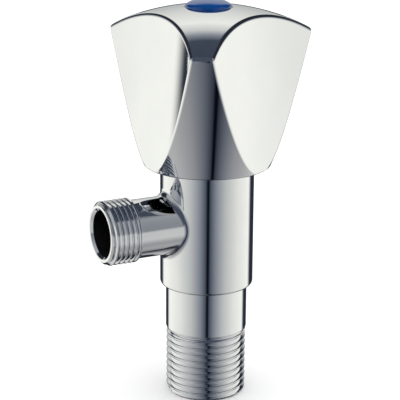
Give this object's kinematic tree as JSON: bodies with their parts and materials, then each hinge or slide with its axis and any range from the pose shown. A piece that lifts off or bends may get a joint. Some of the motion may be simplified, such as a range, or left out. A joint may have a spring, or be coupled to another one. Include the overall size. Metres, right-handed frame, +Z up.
{
  "type": "angle stop valve",
  "caption": "Chromed quarter-turn angle stop valve: threaded inlet shank, threaded side outlet, three-sided flared handle with a blue index button.",
  "frame": {"origin": "centre of the inlet's end face", "axes": "+Z up the body's axis from the inlet to the handle, -X out of the outlet spout, +Y completes the frame"},
  "size_m": [0.0595, 0.053, 0.1053],
  "materials": {
    "chrome_body": "polished chrome plate on brass",
    "chrome_handle": "polished chrome plate on zinc alloy",
    "blue_button": "glossy moulded plastic",
    "brass": "machined brass",
    "steel": "bright spring steel",
    "black_rubber": "smooth nitrile rubber",
    "white_nylon": "moulded nylon",
    "ceramic": "lapped alumina ceramic, white"
  },
  "bodies": {
    "body": {"valve_body": "chrome_body", "bonnet": "brass", "bonnet_o_ring": "black_rubber", "fixed_disc": "ceramic", "lip_seal": "black_rubber", "seal_support_ring": "white_nylon"},
    "handle": {"handle": "chrome_handle", "index_button": "blue_button", "handle_screw": "steel", "lock_washer": "steel", "spline_insert": "white_nylon", "spindle": "brass", "circlip": "steel", "stop_washer": "steel", "upper_o_ring": "black_rubber", "lower_o_ring": "black_rubber", "thrust_washer": "white_nylon", "rotating_disc": "ceramic"}
  },
  "joints": [
    {"name": "handle_turn", "type": "hinge", "parent": "body", "child": "handle", "pos_m": [0, 0, 0.08], "axis": [0, 0, 1], "range_deg": [0, 90]}
  ]
}
